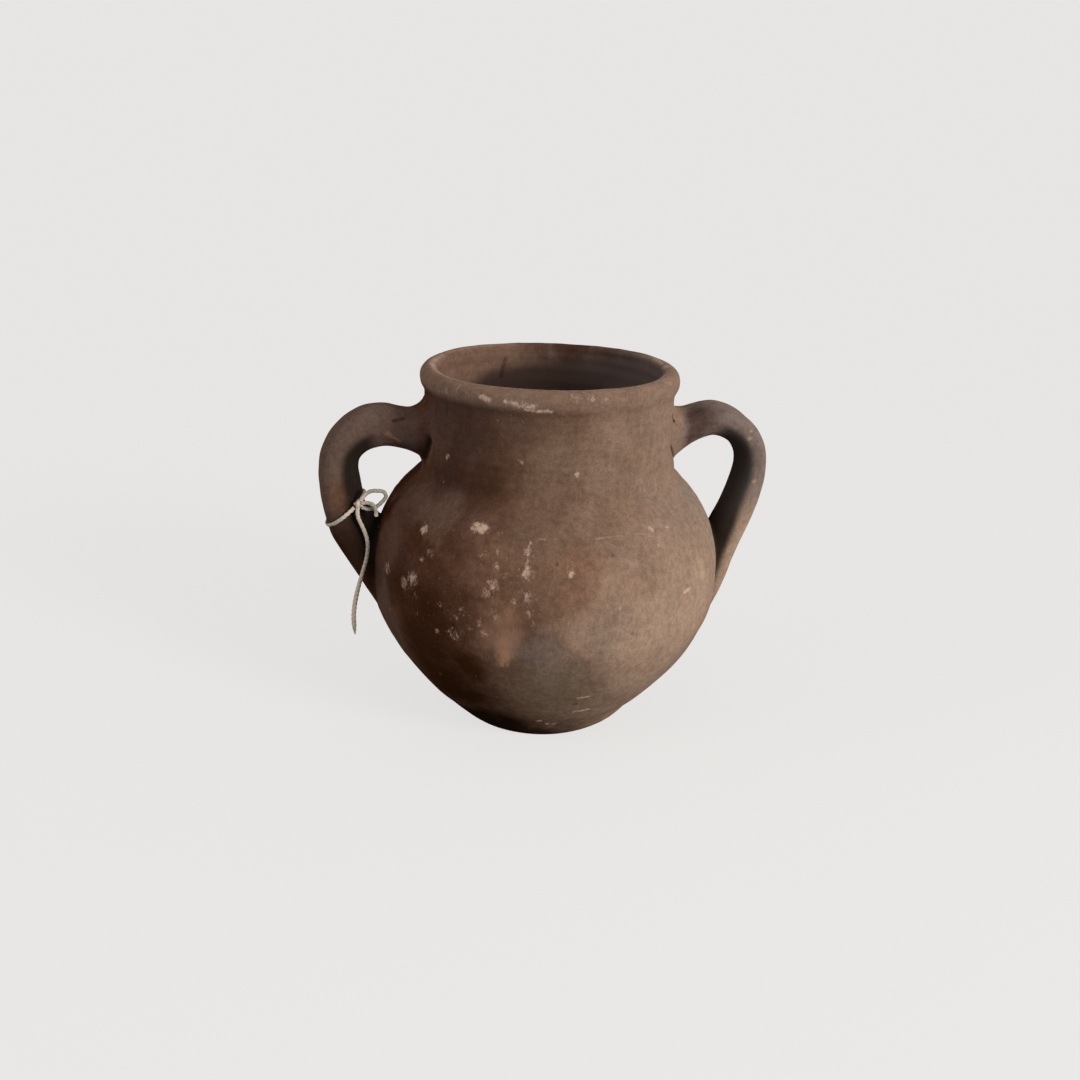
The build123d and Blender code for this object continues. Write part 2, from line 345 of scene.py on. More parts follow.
def wall_sheet(line, low, high, step):
    """Points and normals of one side of a ring between two levels, as (row, round, xyz) arrays."""
    start, end = line.place_of(low), line.place_of(high)
    rows = max(2, ceil((end - start) / step) + 1)
    along = np.linspace(start, end, rows)
    gap = along[1] - along[0]
    along = np.clip(np.r_[start - gap, along, end + gap], 0, line.along[-1])
    (place, normal), angle = line.at(along), np.arange(ROUND_STEPS) * tau / ROUND_STEPS
    way = np.stack([np.sin(angle), -np.cos(angle)], 1)
    flat = np.concatenate(
        [place[:, None, :1] * way, np.repeat(place[:, None, 1:], ROUND_STEPS, 1)], axis=2
    )
    lift = wall_relief(flat, angle[None], place[:, None, 1], line.outward > 0)
    points = flat.copy()
    points[..., :2] += (lift * normal[:, :1])[..., None] * way
    off_ground = np.clip(flat[..., 2] / GROUND_EASE, 0, 1)
    points[..., 2] += off_ground * (lift * normal[:, 1:] + rim_sway(angle[None], flat[..., 2]))
    return points[1:-1], sheet_normals(points)[1:-1]


def wall_tone(points, outward):
    """How much painted shade a sheet of the wall gets: its inside is painted darker from the lip down, as the
    rim's shadow, sooner on the right.
    """
    tone = np.zeros(points.shape[:-1] + (len(TONES),))
    if not outward:
        depth = SHADED_TOP - points[..., 2] - np.interp(points[..., 0], SHADED_ACROSS, SHADED_DEPTHS)
        tone[..., 0] = ease(depth / SHADED_FADE + 0.5)
        tone[..., 2] = 1.0
    return tone


def sheet_normals(points):
    """Normals of a sheet of points that closes on itself along its second axis."""
    down = np.gradient(points, axis=0)
    across = np.roll(points, -1, axis=1) - np.roll(points, 1, axis=1)
    normals = np.cross(across, down)
    return normals / np.maximum(np.linalg.norm(normals, axis=2, keepdims=True), 1e-12)


class Shell:
    """Collects sheets, caps, their normals and their tones for one closed mesh."""

    def __init__(self):
        self.places, self.tones, self.faces, self.normals = [], [], [], []
        self.count = 0

    def points(self, sheet, tone=None):
        """Adds a sheet's points and gives the number of each."""
        flat = sheet.reshape(-1, 3)
        self.places.append(flat)
        self.tones.append(np.zeros((len(flat), len(TONES))) if tone is None else tone.reshape(len(flat), -1))
        numbers = np.arange(self.count, self.count + len(flat)).reshape(sheet.shape[:-1])
        self.count += len(flat)
        return numbers

    def quads(self, upper, lower, upper_normals=None, lower_normals=None):
        """A band of faces between two rows of point numbers; with no normals given it is flat."""
        after_upper, after_lower = np.roll(upper, -1), np.roll(lower, -1)
        band = np.stack([upper, lower, after_lower, after_upper], 1)
        self.faces.extend(band.tolist())
        if upper_normals is None:
            self.normals.extend([None] * len(band))
            return
        turned = [upper_normals, lower_normals, np.roll(lower_normals, -1, 0), np.roll(upper_normals, -1, 0)]
        self.normals.extend(np.stack(turned, 1).tolist())

    def sheet(self, points, normals, tone=None):
        """A whole sheet of smooth faces; gives its first and last row of point numbers."""
        numbers = self.points(points, tone)
        for row in range(len(numbers) - 1):
            self.quads(numbers[row + 1], numbers[row], normals[row + 1], normals[row])
        return numbers[0], numbers[-1]

    def fan(self, row, centre, outward_up, tone=None):
        """A flat cap of triangles from a row to a centre point."""
        middle = int(self.points(np.array([[centre]]), tone)[0, 0])
        for here, after in zip(row.tolist(), np.roll(row, -1).tolist()):
            self.faces.append([here, after, middle] if outward_up else [after, here, middle])
            self.normals.append(None)

    def made(self, node, kind, material, body):
        """The finished object: it rides on its body and stands for its CAD node."""
        places = np.concatenate(self.places) * MM
        mesh = bpy.data.meshes.new(f"{node}_{kind}")
        mesh.from_pydata(places.tolist(), [], self.faces)
        mesh.update()
        mesh.shade_smooth()
        loops = []
        for polygon, normals in zip(mesh.polygons, self.normals):
            loops.extend(normals or [tuple(polygon.normal)] * polygon.loop_total)
        mesh.normals_split_custom_set(loops)
        for tone, values in zip(TONES, np.concatenate(self.tones).T):
            if values.any():
                mesh.attributes.new(tone, "FLOAT", "POINT").data.foreach_set("value", values)
        mesh.materials.append(material)
        piece = bpy.data.objects.new(mesh.name, mesh)
        bpy.context.scene.collection.objects.link(piece)
        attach(piece, body)
        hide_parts(node)
        return piece


def make_ring(index, clay):
    """One clay ring of the wall, closed by the flat faces that it shares with its neighbours."""
    low, high = JOINT_LEVELS[index], JOINT_LEVELS[index + 1]
    shell = Shell()
    outer_low, outer_high = shell.sheet(*wall_sheet(outside, low, high, OUTSIDE_STEP))
    inner_points, inner_normals = wall_sheet(inside, low, high, INSIDE_STEP)
    inner_points, inner_normals = inner_points[::-1], -inner_normals[::-1]
    inner_high, inner_low = shell.sheet(inner_points, inner_normals, wall_tone(inner_points, False))
    shell.quads(inner_high, outer_high)
    shell.quads(outer_low, inner_low)
    shell.made(RINGS[index], "clay", clay, "pot")


def make_rim(clay):
    """The rolled coil: its outside and inside meet in the crest of the lip."""
    low, high = JOINT_LEVELS[-2], JOINT_LEVELS[-1]
    outer_points, outer_normals = wall_sheet(outside, low, high, OUTSIDE_STEP / 2)
    inner_points, inner_normals = wall_sheet(inside, low, high, OUTSIDE_STEP / 2)
    points = np.concatenate([outer_points, inner_points[::-1][1:]])
    normals = np.concatenate([outer_normals, -inner_normals[::-1][1:]])
    crest = len(outer_points) - 1
    normals[crest] = (normals[crest - 1] + normals[crest + 1]) / 2
    tone = np.concatenate([wall_tone(outer_points, True), wall_tone(inner_points[::-1][1:], False)])
    shell = Shell()
    outer_low, inner_low = shell.sheet(points, normals, tone)
    shell.quads(outer_low, inner_low)
    shell.made("rim_coil", "clay", clay, "pot")


def make_base(clay):
    """The disc that the pot is built on, with the uneven floor of the inside on its top."""
    low, high = JOINT_LEVELS[0], JOINT_LEVELS[1]
    shell = Shell()
    outer_low, outer_high = shell.sheet(*wall_sheet(outside, low, high, OUTSIDE_STEP))
    floor_edge = wall_sheet(inside, high, JOINT_LEVELS[2], INSIDE_STEP)[0][0]
    radii = np.linspace(1.0, BASE_FLOOR_MIDDLE, BASE_FLOOR_ROWS)
    floor = floor_edge[None] * np.stack([radii, radii, np.ones_like(radii)], 1)[:, None, :]
    angle = np.linspace(0, tau, ROUND_STEPS, endpoint=False)
    spiral = np.sin(radii * BASE_SPIRAL_TURN + angle[:, None]).T
    swell = np.sin(radii * pi)[:, None]
    floor[..., 2] += swell * (BASE_SPIRAL_RISE * spiral + grains(floor, BASE_GRAINS))
    top_edge, top_middle = shell.sheet(floor, sheet_normals(floor), wall_tone(floor, False))
    shell.quads(top_edge, outer_high)
    middle = np.array([[[0.0, 0.0, floor[-1, :, 2].mean()]]])
    shell.fan(top_middle, middle[0, 0], True, wall_tone(middle, False))
    shell.fan(outer_low, (0.0, 0.0, low), False)
    shell.made("base_slab", "clay", clay, "pot")


def pot_gap(points):
    """Distance of points from the pot's outside, and the outside's normal there."""
    reach = np.hypot(points[..., 0], points[..., 1])
    level = points[..., 2]
    step = 0.5
    lean = (outside.radius(level + step) - outside.radius(level - step)) / (2 * step)
    tilt = 1 / np.sqrt(1 + lean**2)
    gap = (reach - outside.radius(level)) * tilt
    way = points[..., :2] / np.maximum(reach, 1e-9)[..., None]
    return gap, np.concatenate([way * tilt[..., None], (-lean * tilt)[..., None]], axis=-1)


def luted(points, normals):
    """Flares a handle's surface where it meets the pot, and keeps its buried part inside the wall."""
    gap, pot_normal = pot_gap(points)
    across = normals - (normals * pot_normal).sum(-1, keepdims=True) * pot_normal
    near = np.clip((LUTING_FILLET - gap) / LUTING_FILLET, 0, 1)
    flare = LUTING_FILLET * (1 - np.sqrt(1 - near**2))
    points = points + flare[..., None] * across
    gap, pot_normal = pot_gap(points)
    return points + np.maximum(-BURIED_DEPTH - gap, 0)[..., None] * pot_normal


def squared(value):
    """A sine or cosine round a section, bulged towards a squarer section."""
    return np.sign(value) * np.abs(value) ** (2 / SECTION_POWER)


def strap_sheet(stations, side, skew):
    """Points and tones of a handle and its pad, swept through its stations towards one side of the pot."""
    rows = np.array(stations)
    knots = chord_lengths((rows[:, :2] + rows[:, 2:4]) / 2)
    at = np.linspace(0, knots[-1], ceil(knots[-1] / SECTION_STEP) + 1)
    rows = hermite(rows, knots, at)[0]
    turn = np.arange(SECTION_POINTS) * tau / SECTION_POINTS
    lie, spread = squared(np.cos(turn)), squared(np.sin(turn))
    middle, reach = (rows[:, :2] + rows[:, 2:4]) / 2, (rows[:, :2] - rows[:, 2:4]) / 2
    points = np.zeros((len(at), SECTION_POINTS, 3))
    skewed = lie + skew * (1 - lie**2)
    points[..., 0] = side * (middle[:, :1] + reach[:, :1] * skewed)
    points[..., 2] = middle[:, 1:] + reach[:, 1:] * skewed
    points[..., 1] = rows[:, 4:5] * spread
    tone = np.zeros(points.shape[:-1] + (len(TONES),))
    # Painted shade on the handle's inner face, under its arch and down its limb
    low, high = SHADED_STRAP_REACH
    far_out = ease((side * points[..., 0] - low) / (high - low))
    on_limb = np.maximum(points[..., 2] < SHADED_STRAP_LEVEL, far_out)
    edge = np.interp(points[..., 2], *zip(*SHADED_STRAP_EDGES))
    tone[..., 0] = on_limb * ease((edge - lie) / SHADED_STRAP_FADE)
    if side > 0:
        points, tone = points[:, ::-1], tone[:, ::-1]
    normals = sheet_normals(points)
    lift = grains(points, STRAP_GRAINS) + marked(points)
    drawn = STRAP_LINE_DEPTH * np.sin(STRAP_LINES * turn[None] + 2.5 * rough(points, 40.0, 9))
    points = luted(points + (lift + drawn)[..., None] * normals, normals)
    near, far = STRAP_GAP
    tone[..., 1] = ease((pot_gap(points)[0] - near) / (far - near))
    return points, tone


def make_strap(name, stations, side, skew, clay):
    """A handle and its neck pad, which meet in one section."""
    points, tone = strap_sheet(stations, side, skew)
    normals = sheet_normals(points)
    joint_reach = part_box(f"{name}_handle")[0 if side > 0 else 1].x / MM
    joint = int(np.argmax(side * points[..., 0].mean(1) > side * joint_reach))
    for node, first, last in ((f"{name}_neck_pad", 0, joint), (f"{name}_handle", joint, len(points) - 1)):
        shell = Shell()
        part = slice(first, last + 1)
        start, end = shell.sheet(points[part], normals[part], tone[part])
        shell.fan(start, tuple(points[first].mean(0)), False)
        shell.fan(end, tuple(points[last].mean(0)), True)
        shell.made(node, "clay", clay, "pot")


def string_line(name, points):
    """Points along a string's smooth line, read from a NURBS spline through its route, in metres."""
    curve = bpy.data.curves.new(name, "CURVE")
    curve.dimensions = "3D"
    curve.resolution_u = 24
    spline = curve.splines.new("NURBS")
    spline.points.add(len(points) - 1)
    for control, point in zip(spline.points, points):
        control.co = (*point, 1.0)
    spline.order_u = 3
    spline.use_endpoint_u = True
    holder = bpy.data.objects.new(name, curve)
    mesh = bpy.data.meshes.new_from_object(holder)
    line = np.array([vertex.co for vertex in mesh.vertices])
    bpy.data.meshes.remove(mesh)
    bpy.data.curves.remove(curve)
    return line


def twisted_tube(line, closed=False, taper=None):
    """A tube of twisted plies along a line in metres; gives its rings of points and their centres."""
    along = chord_lengths(line)
    at = np.linspace(0, along[-1], ceil(along[-1] / (STRING_STEP * MM)) + 1)
    middle = np.stack([np.interp(at, along, line[:, axis]) for axis in range(3)], 1)
    ahead = np.gradient(middle, axis=0)
    if closed:
        ahead[0] = ahead[-1] = middle[1] - middle[-2]
    ahead /= np.linalg.norm(ahead, axis=1, keepdims=True)
    side = Vector(ahead[0]).orthogonal().normalized()
    sides = []
    for way in ahead:
        side = (side - side.dot(Vector(way)) * Vector(way)).normalized()
        sides.append(side)
    sides = np.array(sides)
    lift = np.cross(ahead, sides)
    turn = np.arange(STRING_SIDES) * tau / STRING_SIDES
    ply = np.cos(STRING_PLIES * (turn[None] - tau * at[:, None] / (STRING_TWIST_PITCH * MM)))
    radius = STRING_DIAMETER / 2 * MM * (1 - PLY_DEPTH + PLY_DEPTH * ply)
    if taper is not None:
        radius = radius * taper(at / at[-1])[:, None]
    rings = middle[:, None] + (radius * np.cos(turn))[..., None] * sides[:, None]
    rings += (radius * np.sin(turn))[..., None] * lift[:, None]
    return rings / MM, middle


def make_string(node, route, twine, body, taper=None, press=None):
    """A piece of string along its route, with rounded ends; gives the piece and its centre line."""
    rings, middle = twisted_tube(string_line(node, np.array(route) * MM), taper=taper)
    if press is not None:
        rings = press(rings)
    shell = Shell()
    start, end = shell.sheet(rings[:, ::-1], sheet_normals(rings[:, ::-1]))
    shell.fan(start, tuple(middle[0] / MM), False)
    shell.fan(end, tuple(middle[-1] / MM), True)
    return shell.made(node, "twine", twine, body), middle


class Paint:
    """Short calls for building the node tree of a material or of the world."""

    def __init__(self, holder):
        holder.use_nodes = True
        self.holder = holder
        self.tree = holder.node_tree
        self.tree.nodes.clear()

    def node(self, kind, **settings):
        """A new node with the given settings."""
        made = self.tree.nodes.new("ShaderNode" + kind)
        for name, value in settings.items():
            setattr(made, name, value)
        return made

    def feed(self, socket, value):
        """Links a socket's source, or sets its value."""
        if isinstance(value, bpy.types.NodeSocket):
            self.tree.links.new(value, socket)
        else:
            socket.default_value = value

    def feed_all(self, sockets, values):
        """Feeds sockets in their order."""
        for socket, value in zip(sockets, values):
            self.feed(socket, value)

    def feed_named(self, made, **inputs):
        """Feeds a node's inputs by name, with _ for a space, and gives the node's outputs."""
        for name, value in inputs.items():
            self.feed(made.inputs[name.replace("_", " ")], value)
        return made.outputs

    def fed(self, kind, **inputs):
        """The first output of a new node whose inputs are fed by name."""
        return self.feed_named(self.node(kind), **inputs)[0]

    def math(self, operation, *values):
        """An operation on one, two or three values."""
        made = self.node("Math", operation=operation)
        self.feed_all(made.inputs, values)
        return made.outputs[0]

    def times(self, one, two):
        """One value times another."""
        return self.math("MULTIPLY", one, two)

    def vector(self, operation, *values):
        """An operation on vectors, which gives a vector or a value."""
        made = self.node("VectorMath", operation=operation)
        self.feed_all(made.inputs, values)
        return made.outputs["Value" if operation in ("DISTANCE", "LENGTH", "DOT_PRODUCT") else "Vector"]

    def axes(self):
        """The place's own X, Y and Z."""
        return self.feed_named(self.node("SeparateXYZ"), Vector=self.place)

    def grain(self, size, detail=2.0, roughness=0.5, place=None, output="Fac"):
        """Noise whose grains are about size millimetres across."""
        inputs = {"Vector": place or self.place, "Scale": 1 / (size * MM), "Detail": detail}
        return self.feed_named(self.node("TexNoise"), Roughness=roughness, **inputs)[output]

    def span(self, value, low, high, to_low=0.0, to_high=1.0):
        """A smooth step of value from low to high."""
        made = self.node("MapRange", interpolation_type="SMOOTHSTEP", clamp=False)
        ends = {"From_Min": low, "From_Max": high, "To_Min": to_low, "To_Max": to_high}
        return self.feed_named(made, Value=value, **ends)["Result"]

    def mixed(self, values, **settings):
        """Two values or colours mixed by a share, all three given in a row."""
        made = self.node("Mix", clamp_factor=True, **settings)
        values = [(*value, 1.0) if isinstance(value, tuple) else value for value in values]
        self.feed_all([socket for socket in made.inputs if socket.enabled], values)
        return next(socket for socket in made.outputs if socket.enabled)

    def mix(self, share, one, two, blend="MIX"):
        """Two colours mixed by a share."""
        return self.mixed((share, one, two), data_type="RGBA", blend_type=blend)

    def mix_value(self, share, one, two):
        """Two values mixed by a share."""
        return self.mixed((share, one, two), data_type="FLOAT")

    def total(self, shares):
        """The sum of several values, each times its share."""
        whole = 0.0
        for value, share in shares:
            whole = self.math("MULTIPLY_ADD", value, share, whole)
        return whole

    def attribute(self, name):
        """A tone that the mesh carries."""
        return self.node("Attribute", attribute_name=name).outputs["Fac"]

    def shaken(self, size, detail, reach):
        """The place moved about by up to reach millimetres, in grains of the given size."""
        shake = self.vector("SUBTRACT", self.grain(size, detail, 0.62, output="Color"), (0.5, 0.5, 0.5))
        shake = self.vector("MULTIPLY", shake, (2 * reach * MM,) * 3)
        return self.vector("ADD", self.place, shake)

    def streaked(self, size, reach):
        """The place moved up and down by up to reach millimetres, in upright streaks of the given width."""
        flat = self.vector("MULTIPLY", self.place, (1.0, 1.0, 0.15))
        sway = self.math("SUBTRACT", self.grain(size, 3, 0.6, flat), 0.5)
        lift = self.fed("CombineXYZ", Z=self.times(sway, 3 * reach * MM))
        return self.vector("ADD", self.place, lift)

    def dots(self, size, share, place):
        """Scattered dots of varied size: a share of the cells of size millimetres has one."""
        cells = self.feed_named(self.node("TexVoronoi"), Vector=place, Scale=1 / (size * MM))
        luck = self.fed("SeparateColor", Color=cells["Color"])
        won = self.math("SUBTRACT", self.math("ADD", luck, share), 1.0)
        reach = self.span(won, 0.0, 0.4, 0.0, 0.42)
        return self.span(self.math("SUBTRACT", reach, cells["Distance"]), 0.0, 0.16)

    def spot(self, centre, radius, edge, place=None):
        """A soft round patch about a point in millimetres, from one inside to nothing outside."""
        gap = self.vector("DISTANCE", place or self.place, tuple(c * MM for c in centre))
        return self.span(gap, radius * (1 + edge) * MM, radius * (1 - edge) * MM)

    def line(self, start, end, half_width, place=None):
        """A soft line between two points in millimetres."""
        start, end = Vector(start) * MM, Vector(end) * MM
        run = end - start
        from_start = self.vector("SUBTRACT", place or self.place, tuple(start))
        share = self.vector("DOT_PRODUCT", from_start, tuple(run / run.length_squared))
        share = self.math("MAXIMUM", self.math("MINIMUM", share, 1.0), 0.0)
        scaled = self.node("VectorMath", operation="SCALE")
        nearest = self.feed_named(scaled, Vector=tuple(run), Scale=share)["Vector"]
        gap = self.vector("DISTANCE", from_start, nearest)
        return self.span(gap, half_width * MM, 0.0)

    def most(self, values):
        """The largest of several masks, each made as its turn comes."""
        return reduce(lambda best, value: self.math("MAXIMUM", best, value), values)

    def seen_directly(self):
        """One where the camera, a reflection or glass looks at the backdrop, and nothing for other light."""
        path = self.node("LightPath")
        return self.most(path.outputs[f"Is {kind} Ray"] for kind in ("Camera", "Glossy", "Transmission"))

    def blend(self, share, one, two):
        """Two shaders mixed by a share."""
        made = self.node("MixShader")
        self.feed_all(made.inputs, (share, one, two))
        return made.outputs[0]

    def show(self, shader, output="OutputMaterial"):
        """Makes a shader the one that is seen."""
        self.feed(self.node(output).inputs["Surface"], shader)

    def finish(self, colour, roughness, height, depth, **constants):
        """The surface: colour, roughness and bump from nodes, and its other numbers set on the shader."""
        normal = self.fed("Bump", Distance=depth * MM, Height=height)
        surface = {"Base_Color": colour, "Roughness": roughness, "Normal": normal, **constants}
        self.show(self.fed("BsdfPrincipled", **surface))
        return self.holder


def new_paint(name):
    """The paint of a new material, with the object's own coordinates as its place."""
    paint = Paint(bpy.data.materials.new(name))
    paint.place = paint.node("TexCoord").outputs["Object"]
    return paint


# Colours of the clay, as linear red, green and blue
CLAY_LEFT = (0.098, 0.038, 0.021)
CLAY_MIDDLE = (0.195, 0.112, 0.073)
CLAY_RIGHT = (0.378, 0.248, 0.174)
CLAY_RIM = (0.295, 0.188, 0.133)
CLAY_INSIDE = (0.224, 0.129, 0.088)
CLAY_INSIDE_RIGHT = (0.150, 0.105, 0.092)
CLAY_DUST_AND_HIGHLIGHT = (0.520, 0.350, 0.245)
CLAY_TAN = (0.540, 0.385, 0.255)
CLAY_ASH_AND_SHEEN = (0.280, 0.235, 0.190)
CLAY_MAUVE_AND_SHEEN = (0.165, 0.094, 0.068)
CLAY_STRAP_LEFT = (0.175, 0.113, 0.087)
CLAY_STRAP_RIGHT = (0.258, 0.194, 0.165)
CLAY_UMBER = (0.100, 0.056, 0.044)
CLAY_RED = (0.170, 0.078, 0.042)
CLAY_RUST = (0.350, 0.178, 0.104)
CLAY_TIP = (0.450, 0.242, 0.150)
# Soot, also used for painted shade on the belly beside the limbs
CLAY_SOOT_AND_SHADE = (0.058, 0.020, 0.007)
CLAY_SOOT_AND_SHADE_LOW = (0.028, 0.013, 0.006)
CLAY_CRACK = (0.009, 0.005, 0.003)
# Painted shade on the handles' inner faces and the left limb, and on the inside below the rim
STRAP_SHADE = (0.024, 0.017, 0.013)
STRAP_SHADE_RIGHT = (0.060, 0.052, 0.048)
LINING_SHADE = (0.062, 0.038, 0.030)
LINING_SHADE_RIGHT = (0.135, 0.100, 0.088)
CLAY_SLATE = (0.182, 0.138, 0.119)
CLAY_OLIVE = (0.218, 0.155, 0.102)
CLAY_PALE = (0.660, 0.455, 0.335)
CLAY_PIT = (0.045, 0.028, 0.020)

# Bands over which one tone gives way to another, in metres: across the pot, by level, and from the axis
LEFT_BAND = (-0.085, -0.005)
RIGHT_BAND = (-0.015, 0.075)
MIDDLE_BAND = (-0.01, 0.01)
LINING_BAND = (-0.022, 0.035)
# Where the painted shade inside turns lighter, across the pot
LINING_SHADE_BAND = (0.015, 0.060)
RIM_PALING = (-0.062, 0.035)
SOOT_LEVELS = (0.012, 0.048)
LIT_LIMB_LEVELS = (0.120, 0.150)
WIPED_LEVELS = (0.150, 0.205)
NECK_LEVELS = (0.154, 0.172)
RIM_LEVELS = (0.2115, 0.2185)
RIM_REACH = (0.0692, 0.0705)
LIP_LEVELS = (0.2195, 0.2225)
LIP_REACH = 0.0708
LIP_HALF_WIDTH = 0.0032
LIP_FRONT = (0.045, 0.015)

# Spots on the handles: centre in millimetres, radius and softness of the edge
DUSTY_SPOT = ((122, -8, 112), 29, 0.8)
RED_SPOT = ((-127, -15, 147), 13, 0.5)
SOOTY_SPOT = ((-118, -4, 106), 30, 0.5)
# Painted shade on the front of the left limb
SHADED_LIMB_SPOT = ((-121, -13, 122), 16, 0.5)

# Patches on the pot's outside: angle, level, radius and strength
RUST_PATCHES = [
    (5, 120, 22, 0.5), (-20, 100, 14, 0.5), (-24, 130, 18, 0.25), (28, 68, 14, 0.3), (18, 117, 14, 0.35),
    (150, 110, 30, 0.5), (-140, 125, 24, 0.5), (95, 90, 20, 0.3),
]
# Dust; the rows at angles -56 and -49 also paint a highlight on a fold of the left shoulder
DUST_AND_HIGHLIGHT_PATCHES = [
    (24, 84, 26, 0.7), (44, 84, 24, 0.6), (28, 52, 20, 0.4), (54, 96, 20, 0.55), (8, 90, 17, 0.45),
    (16, 200, 16, 0.2), (18, 114, 18, 0.3), (36, 114, 18, 0.3), (0, 180, 18, 0.16), (120, 100, 30, 0.4),
    (16, 176, 16, 0.28), (-56, 147, 9, 0.14), (-49, 143, 9, 0.14), (-4, 72, 15, 0.28), (12, 164, 14, 0.18),
]
# Mauve clay; the rows at angle -74 also paint a greyish sheen along the left outline
MAUVE_AND_SHEEN_PATCHES = [
    (-70, 190, 22, 0.6), (-66, 154, 18, 0.75), (-48, 152, 14, 0.8), (-34, 151, 10, 0.5),
    (-74, 122, 18, 0.6), (-74, 70, 24, 0.75), (-64, 56, 14, 0.4),
]
TAN_PATCHES = [(54, 119, 6, 0.7), (55, 112, 4, 0.5), (-152, 70, 12, 0.4)]
# Ashy clay; the row at angle -76 paints a greyish sheen along the left outline
ASH_AND_SHEEN_PATCHES = [(70, 150, 13, 0.6), (78, 128, 14, 0.7), (-76, 96, 14, 0.3), (140, 150, 20, 0.5)]
# Soot, and painted shade: the rows at level 118 paint shade on the belly beside the limbs, and the last four
# darken the back of the rim at the right
SOOT_AND_SHADE_PATCHES = [
    (-46, 42, 28, 1), (-50, 74, 22, 0.8), (-42, 50, 13, 0.85), (-36, 12, 26, 1), (-10, 2, 20, 0.9),
    (-32, 64, 11, 0.95), (-43, 72, 9, 0.8), (-46, 100, 13, 0.8), (-43, 89, 11, 0.75), (-34, 104, 12, 0.3),
    (-14, 100, 11, 0.2), (-62, 102, 16, 0.4), (-105, 50, 34, 0.6), (-40, 199, 17, 0.2), (-35, 168, 16, 0.5),
    (-58, 172, 16, 0.3), (170, 60, 34, 0.8), (120, 30, 30, 0.6), (8, 8, 14, 0.5), (-90, 118, 15, 0.8),
    (90, 118, 15, 0.8), (178, 223, 15, 0.75), (160, 223, 16, 0.85), (142, 223, 15, 0.65),
    (126, 223, 13, 0.3),
]
UMBER_PATCHES = [
    (-42, 198, 19, 0.75), (-62, 206, 17, 0.7), (-22, 206, 15, 0.4), (-44, 213, 8, 0.8), (-22, 212, 8, 0.6),
    (-56, 167, 13, 0.65), (-40, 166, 13, 0.4),
]
SLATE_PATCHES = [
    (-9, 80, 14, 0.55), (-4, 66, 16, 0.4), (14, 92, 14, 0.25), (50, 150, 16, 0.25), (-160, 90, 20, 0.5),
]
OLIVE_PATCHES = [(-4, 50, 22, 0.7), (8, 32, 17, 0.6)]
RUST_TIP = [
    (-20, 74, 3.4, 1), (-19.5, 79, 4.8, 1), (-19.5, 85, 6.5, 0.75), (-17.5, 91, 6, 0.5), (-24, 88, 6, 0.35),
    (-19, 99, 7, 0.3),
]
PIT_PATCHES = [
    (-4, 133, 1.1, 1), (15, 136, 1, 0.8), (21, 90, 1.6, 0.6), (60, 140, 1.2, 0.7), (7, 38, 1.6, 0.8),
]

# Places where pale flecks are common, and single flecks on the belly, the neck, the rim and the foot
FLECK_CROWDS = [
    (-45, 112, 36, 0.45), (-12, 118, 26, 0.5), (-30, 92, 20, 0.5), (18, 170, 26, 0.4), (-52, 142, 18, 0.4),
    (10, 20, 20, 0.4), (150, 80, 30, 0.6), (-120, 120, 26, 0.6), (100, 130, 20, 0.5), (-165, 150, 14, 0.6),
    (-24, 218, 14, 0.55), (4, 219, 16, 0.5), (26, 219, 12, 0.4), (-54, 219, 10, 0.4),
]
FLECKS = [
    (-33.4, 147.6, 3.4, 1.25), (-30.8, 147.4, 3.6, 1.35), (-54.6, 140.1, 3, 1.2), (-24.1, 146.9, 1.8, 0.7),
    (-48.1, 129.6, 3, 0.55), (-50.9, 124.7, 1.9, 0.55), (-68.5, 111, 3.6, 0.9), (-28.7, 133.9, 3.6, 0.55),
    (-23.2, 128.9, 2.4, 0.6), (-13.3, 140, 4.5, 0.45), (-13.3, 128, 4, 0.85), (-53.8, 112.5, 4.2, 0.95),
    (-57.5, 108, 3.8, 0.85), (-54.8, 107.9, 3.6, 0.5), (-51.5, 103, 2.4, 0.45), (-51.5, 93, 2.4, 0.4),
    (-66.6, 85.3, 3.6, 0.4), (-41.6, 102.6, 1.8, 0.55), (-42.9, 85.3, 1.8, 0.7), (-33.5, 101.3, 2.9, 0.45),
    (-35.9, 95.8, 2.9, 0.5), (-36.3, 85.7, 4.4, 0.55), (-33, 88.7, 2.1, 0.5), (-26, 90, 2.3, 0.65),
    (-27.6, 96.2, 2.3, 0.6), (-31, 91.5, 1.6, 0.55), (-23.6, 119.7, 3.6, 0.85), (-25.3, 114.6, 3.4, 0.7),
    (-23.1, 105, 2.2, 0.5), (-22.5, 101.2, 1.8, 0.5), (-20.7, 124.8, 2.4, 0.5), (-12.8, 114.6, 3.4, 0.6),
    (-16.6, 111.6, 2.3, 0.5), (-12.1, 105, 2.4, 0.55), (-10.3, 99.1, 2.3, 0.5), (0.6, 127.5, 2.5, 0.9),
    (0.7, 131.5, 2.2, 0.5), (16.2, 106.3, 1.4, 0.9), (34, 75.5, 2.2, 0.5), (40.7, 145, 2.1, 1.1),
    (32.8, 145.4, 2.5, 0.9), (32.7, 141.9, 1.9, 0.8), (33.6, 136.9, 1.5, 1), (-24.3, 42.6, 2.6, 0.45),
    (-49.2, 51, 2, 0.45), (-57.2, 180.3, 2.2, 0.95), (-19.4, 185, 1.4, 0.9), (-60.1, 164.8, 1.8, 0.5),
    (4.9, 178.7, 1.6, 1.1), (-57.5, 219.1, 3, 0.6), (-50, 222, 3, 0.5), (3, 222.6, 3.2, 0.5),
    (9.6, 223, 3.2, 0.6), (16.7, 222.6, 3, 0.5), (57.5, 223.5, 2.4, 0.5), (-8.1, 20.1, 2.2, 1.2),
    (-2.7, 16, 1.8, 1), (0.6, 15.8, 1.8, 1),
]

